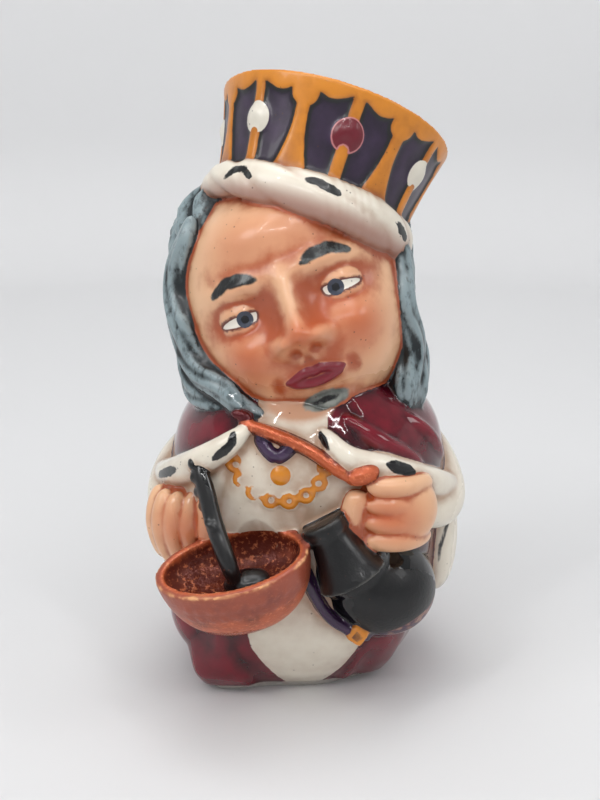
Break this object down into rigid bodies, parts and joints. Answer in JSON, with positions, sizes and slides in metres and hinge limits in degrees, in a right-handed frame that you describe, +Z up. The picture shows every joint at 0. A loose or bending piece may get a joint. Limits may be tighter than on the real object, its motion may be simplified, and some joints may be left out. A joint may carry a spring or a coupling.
{
  "type": "toby jug",
  "caption": "Glazed earthenware jug in the form of a seated king with a bowl, pipe and flask, the crown open as its mouth, a loop handle behind.",
  "frame": {"origin": "middle of the flat unglazed underside", "axes": "+Z up along the jug's height, -Y the way the king faces, +X towards the flask in the king's left hand"},
  "size_m": [0.0897, 0.1225, 0.171],
  "materials": {
    "glazed_earthenware": "clear gloss over hand-painted colours, with copper lustre on the bowl and pipe and a bare clay foot"
  },
  "bodies": {
    "root": {"toby_jug": "glazed_earthenware"}
  },
  "joints": []
}
